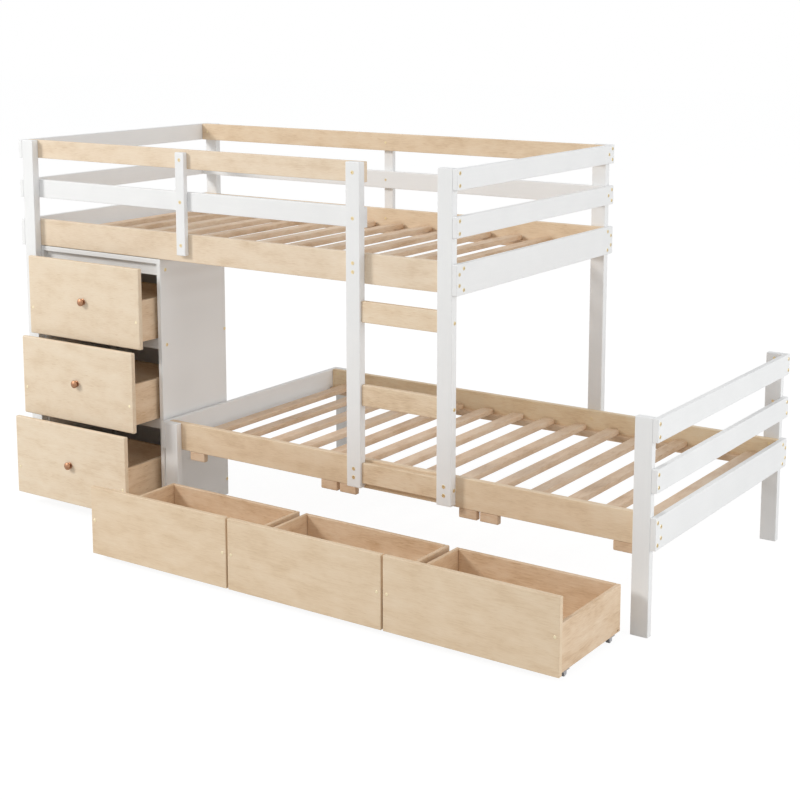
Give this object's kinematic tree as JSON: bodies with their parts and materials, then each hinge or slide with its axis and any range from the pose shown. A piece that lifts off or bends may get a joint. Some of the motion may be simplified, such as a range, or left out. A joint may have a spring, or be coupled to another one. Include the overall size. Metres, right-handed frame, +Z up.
{
  "type": "bunk bed",
  "caption": "Bunk bed with an offset lower bed, slatted decks, guard rails, a fixed ladder, a drawer cabinet under the upper bunk and wheeled drawers under the lower bed.",
  "frame": {"origin": "on the floor, under the middle of the whole set's outline with the drawers as far out as they are drawn", "axes": "+X along the beds from the upper bunk's cabinet end to the lower bed's far end, +Y from the ladder side to the back, +Z up"},
  "size_m": [2.705, 1.534, 1.392],
  "materials": {
    "white_paint": "satin white paint on timber",
    "natural_wood": "clear satin lacquer on pale timber",
    "brass": "plain brass-plated steel",
    "copper_knob": "brushed copper, satin",
    "caster_grey": "grey moulded plastic"
  },
  "bodies": {
    "bed_frame": {"upper_post_front_left": "white_paint", "upper_post_back_left": "white_paint", "upper_post_front_right": "white_paint", "upper_post_back_right": "white_paint", "guard_rail_middle_front": "white_paint", "guard_rail_middle_back": "white_paint", "guard_upright_front": "white_paint", "guard_upright_back": "white_paint", "upper_end_boards_left": "white_paint", "upper_end_boards_right": "white_paint", "ladder_stile": "white_paint", "lower_leg_front_left": "white_paint", "lower_leg_back_left": "white_paint", "lower_leg_front_right": "white_paint", "lower_leg_back_right": "white_paint", "lower_end_board_left": "white_paint", "lower_end_boards_right": "white_paint", "cabinet_panel_left": "white_paint", "cabinet_panel_right": "white_paint", "cabinet_top": "white_paint", "cabinet_bottom": "white_paint", "cabinet_back": "white_paint", "cabinet_front_rails": "white_paint", "upper_side_rail_front": "natural_wood", "upper_side_rail_back": "natural_wood", "guard_rail_top_front": "natural_wood", "guard_rail_top_back": "natural_wood", "slat_ledgers": "natural_wood", "upper_slats": "natural_wood", "lower_slats": "natural_wood", "ladder_rungs": "natural_wood", "lower_side_rail_front": "natural_wood", "lower_side_rail_back": "natural_wood", "drawer_stop_blocks": "natural_wood", "cabinet_runners": "natural_wood", "connector_bolts": "brass"},
    "cabinet_drawer_1": {"cabinet_drawer_1_front": "natural_wood", "cabinet_drawer_1_box": "natural_wood", "cabinet_drawer_1_knob": "copper_knob"},
    "cabinet_drawer_2": {"cabinet_drawer_2_front": "natural_wood", "cabinet_drawer_2_box": "natural_wood", "cabinet_drawer_2_knob": "copper_knob"},
    "cabinet_drawer_3": {"cabinet_drawer_3_front": "natural_wood", "cabinet_drawer_3_box": "natural_wood", "cabinet_drawer_3_knob": "copper_knob"},
    "rolling_drawer_1": {"rolling_drawer_1_front": "natural_wood", "rolling_drawer_1_box": "natural_wood", "rolling_drawer_1_casters": "caster_grey"},
    "rolling_drawer_1_front_wheels": {"rolling_drawer_1_front_wheels": "caster_grey"},
    "rolling_drawer_1_back_wheels": {"rolling_drawer_1_back_wheels": "caster_grey"},
    "rolling_drawer_2": {"rolling_drawer_2_front": "natural_wood", "rolling_drawer_2_box": "natural_wood", "rolling_drawer_2_casters": "caster_grey"},
    "rolling_drawer_2_front_wheels": {"rolling_drawer_2_front_wheels": "caster_grey"},
    "rolling_drawer_2_back_wheels": {"rolling_drawer_2_back_wheels": "caster_grey"},
    "rolling_drawer_3": {"rolling_drawer_3_front": "natural_wood", "rolling_drawer_3_box": "natural_wood", "rolling_drawer_3_casters": "caster_grey"},
    "rolling_drawer_3_front_wheels": {"rolling_drawer_3_front_wheels": "caster_grey"},
    "rolling_drawer_3_back_wheels": {"rolling_drawer_3_back_wheels": "caster_grey"}
  },
  "joints": [
    {"name": "cabinet_drawer_1_slide", "type": "slide", "parent": "bed_frame", "child": "cabinet_drawer_1", "axis": [0, -1, 0], "range_m": [-0.18, 0.04]},
    {"name": "cabinet_drawer_2_slide", "type": "slide", "parent": "bed_frame", "child": "cabinet_drawer_2", "axis": [0, -1, 0], "range_m": [-0.132, 0.088]},
    {"name": "cabinet_drawer_3_slide", "type": "slide", "parent": "bed_frame", "child": "cabinet_drawer_3", "axis": [0, -1, 0], "range_m": [-0.087, 0.133]},
    {"name": "rolling_drawer_1_slide", "type": "slide", "parent": "bed_frame", "child": "rolling_drawer_1", "axis": [0, -1, 0], "range_m": [-0.4535, 0.1]},
    {"name": "rolling_drawer_1_front_wheel_spin", "type": "hinge", "parent": "rolling_drawer_1", "child": "rolling_drawer_1_front_wheels", "pos_m": [-0.2615, -0.703, 0.009], "axis": [1, 0, 0], "continuous": true},
    {"name": "rolling_drawer_1_back_wheel_spin", "type": "hinge", "parent": "rolling_drawer_1", "child": "rolling_drawer_1_back_wheels", "pos_m": [-0.2615, -0.415, 0.009], "axis": [1, 0, 0], "continuous": true},
    {"name": "rolling_drawer_2_slide", "type": "slide", "parent": "bed_frame", "child": "rolling_drawer_2", "axis": [0, -1, 0], "range_m": [-0.4535, 0.1]},
    {"name": "rolling_drawer_2_front_wheel_spin", "type": "hinge", "parent": "rolling_drawer_2", "child": "rolling_drawer_2_front_wheels", "pos_m": [0.3525, -0.703, 0.009], "axis": [1, 0, 0], "continuous": true},
    {"name": "rolling_drawer_2_back_wheel_spin", "type": "hinge", "parent": "rolling_drawer_2", "child": "rolling_drawer_2_back_wheels", "pos_m": [0.3525, -0.415, 0.009], "axis": [1, 0, 0], "continuous": true},
    {"name": "rolling_drawer_3_slide", "type": "slide", "parent": "bed_frame", "child": "rolling_drawer_3", "axis": [0, -1, 0], "range_m": [-0.4535, 0.1]},
    {"name": "rolling_drawer_3_front_wheel_spin", "type": "hinge", "parent": "rolling_drawer_3", "child": "rolling_drawer_3_front_wheels", "pos_m": [0.9665, -0.703, 0.009], "axis": [1, 0, 0], "continuous": true},
    {"name": "rolling_drawer_3_back_wheel_spin", "type": "hinge", "parent": "rolling_drawer_3", "child": "rolling_drawer_3_back_wheels", "pos_m": [0.9665, -0.415, 0.009], "axis": [1, 0, 0], "continuous": true}
  ],
  "couplings": [
    {"joint": "rolling_drawer_1_front_wheel_spin", "follows": "rolling_drawer_1_slide", "rad_per_m": 111.11},
    {"joint": "rolling_drawer_1_back_wheel_spin", "follows": "rolling_drawer_1_slide", "rad_per_m": 111.11},
    {"joint": "rolling_drawer_2_front_wheel_spin", "follows": "rolling_drawer_2_slide", "rad_per_m": 111.11},
    {"joint": "rolling_drawer_2_back_wheel_spin", "follows": "rolling_drawer_2_slide", "rad_per_m": 111.11},
    {"joint": "rolling_drawer_3_front_wheel_spin", "follows": "rolling_drawer_3_slide", "rad_per_m": 111.11},
    {"joint": "rolling_drawer_3_back_wheel_spin", "follows": "rolling_drawer_3_slide", "rad_per_m": 111.11}
  ]
}
